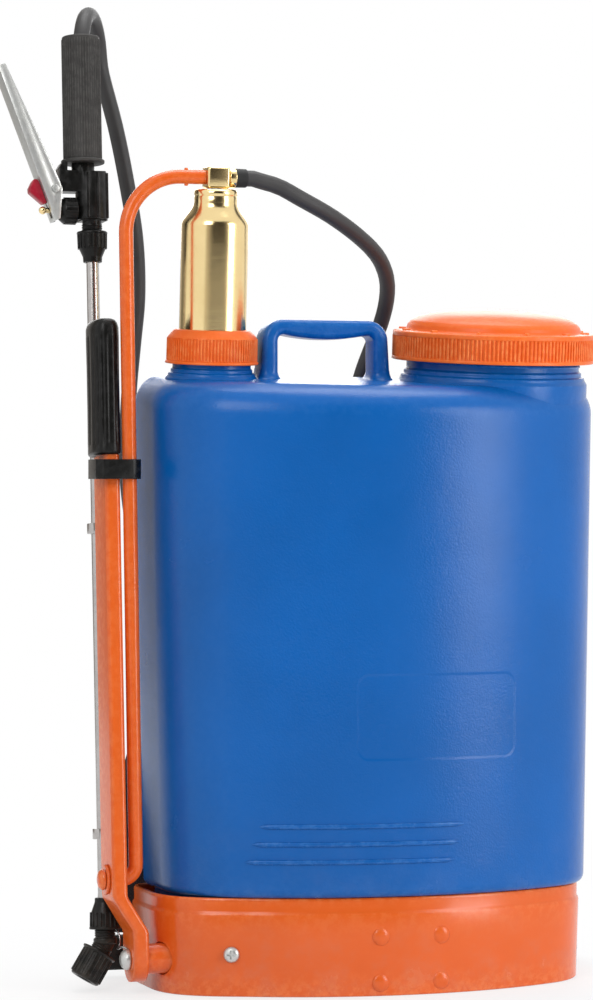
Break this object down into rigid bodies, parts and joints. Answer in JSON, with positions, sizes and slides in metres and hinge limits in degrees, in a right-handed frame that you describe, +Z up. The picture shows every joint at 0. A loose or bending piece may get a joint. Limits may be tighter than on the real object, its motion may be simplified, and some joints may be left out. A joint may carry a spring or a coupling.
{
  "type": "knapsack pump sprayer",
  "caption": "Lever-operated knapsack sprayer: kidney-section plastic tank on a sheet-steel base, brass pump chamber, side lever with link rod, hose, trigger valve and spray lance.",
  "frame": {"origin": "middle of the base, on the face that the sprayer stands on", "axes": "+Z up; +X to the right of a viewer in front of the tank, with the lever at -X; +Y towards the wearer, so the front is at -Y"},
  "size_m": [0.489, 0.2386, 0.7644],
  "materials": {
    "tank_blue": "blow-moulded polyethylene, satin",
    "orange_paint": "glossy enamel on sheet steel",
    "orange_plastic": "moulded plastic, satin",
    "brass": "polished",
    "black_plastic": "moulded plastic, satin",
    "grip_grey": "moulded plastic, matt",
    "stainless": "drawn and brushed",
    "zinc": "zinc-plated",
    "lock_red": "moulded plastic, glossy",
    "hose_rubber": "smooth, matt",
    "webbing": "woven strap",
    "pale_plastic": "moulded plastic, unpigmented",
    "seal_rubber": "moulded seal"
  },
  "bodies": {
    "frame": {"tank": "tank_blue", "carry_handle": "tank_blue", "base_skirt": "orange_paint", "base_cross_brace": "orange_paint", "pivot_bracket": "orange_paint", "base_screw": "zinc", "base_screw_nut": "zinc", "pivot_bolt": "zinc", "pivot_nut": "zinc", "pump_cylinder": "pale_plastic", "foot_valve": "pale_plastic", "intake_strainer": "pale_plastic", "strainer_basket": "pale_plastic", "shoulder_strap_left": "webbing", "shoulder_strap_right": "webbing", "strap_anchor": "black_plastic", "strap_hook_left": "black_plastic", "strap_hook_right": "black_plastic", "hose_pump_half": "hose_rubber"},
    "pump_chamber": {"pressure_chamber": "brass", "outlet_block": "brass", "hose_fitting": "brass", "piston": "brass", "piston_cup": "seal_rubber"},
    "lever": {"pump_lever": "orange_paint", "lever_grip": "black_plastic", "lance_clip_1": "black_plastic", "lance_clip_2": "black_plastic", "lance_tube": "stainless", "lance_nut": "black_plastic", "valve_body": "black_plastic", "valve_grip": "grip_grey", "gland_nut": "black_plastic", "stem_seal": "seal_rubber", "trigger_pin": "zinc", "nozzle_nut": "black_plastic", "nozzle_elbow": "black_plastic", "hose_lance_half": "hose_rubber"},
    "rod": {"link_rod": "orange_paint", "crank_washer": "orange_paint", "storage_clip": "black_plastic"},
    "trigger_body": {"trigger": "stainless"},
    "lock": {"trigger_lock": "lock_red"},
    "stem": {"valve_stem": "brass"},
    "nozzle": {"nozzle_cap": "black_plastic"},
    "lid_seal": {"lid_gasket": "seal_rubber"},
    "lid": {"filler_lid": "orange_plastic"},
    "cap": {"pump_cap": "orange_plastic"}
  },
  "joints": [
    {"name": "lever_swing", "type": "hinge", "parent": "frame", "child": "lever", "pos_m": [-0.196, -0.012, 0.026], "axis": [-1, 0, 0], "range_deg": [0, 60]},
    {"name": "rod_pivot", "type": "hinge", "parent": "lever", "child": "rod", "pos_m": [-0.1955, -0.00753, 0.08684], "axis": [1, 0, 0], "range_deg": [0, 66]},
    {"name": "pump_stroke", "type": "slide", "parent": "frame", "child": "pump_chamber", "axis": [0, -0.0872, 0.9962], "range_m": [-0.036, 0.0005]},
    {"name": "lid_lift", "type": "slide", "parent": "frame", "child": "lid_seal", "axis": [0, -0.0872, 0.9962], "range_m": [0, 0.04]},
    {"name": "lid_turn", "type": "hinge", "parent": "lid_seal", "child": "lid", "pos_m": [0.099, 0.005, 0.46894], "axis": [0, -0.0872, 0.9962], "continuous": true},
    {"name": "pump_cap_turn", "type": "hinge", "parent": "frame", "child": "cap", "pos_m": [-0.129, 0.015, 0.46981], "axis": [0, -0.0872, 0.9962], "continuous": true},
    {"name": "trigger_squeeze", "type": "hinge", "parent": "lever", "child": "trigger_body", "pos_m": [-0.243, 0.06216, 0.61534], "axis": [0, 0.9973, -0.0732], "range_deg": [0, 16], "stiffness_Nm_per_rad": 0.6},
    {"name": "stem_pull", "type": "slide", "parent": "lever", "child": "stem", "axis": [-1, 0, 0], "range_m": [0, 0.0047]},
    {"name": "lock_swing", "type": "hinge", "parent": "trigger_body", "child": "lock", "pos_m": [-0.25784, 0.06251, 0.62014], "axis": [0, 0.9973, -0.0732], "range_deg": [0, 40]},
    {"name": "nozzle_turn", "type": "hinge", "parent": "lever", "child": "nozzle", "pos_m": [-0.2125, 0.01961, 0.0359], "axis": [-0.5299, -0.0621, -0.8458], "continuous": true}
  ],
  "couplings": [
    {"joint": "pump_stroke", "follows": "lever_swing", "m_per_rad": -0.034099},
    {"joint": "rod_pivot", "follows": "lever_swing", "ratio": 1.0844},
    {"joint": "stem_pull", "follows": "trigger_squeeze", "m_per_rad": 0.016}
  ]
}
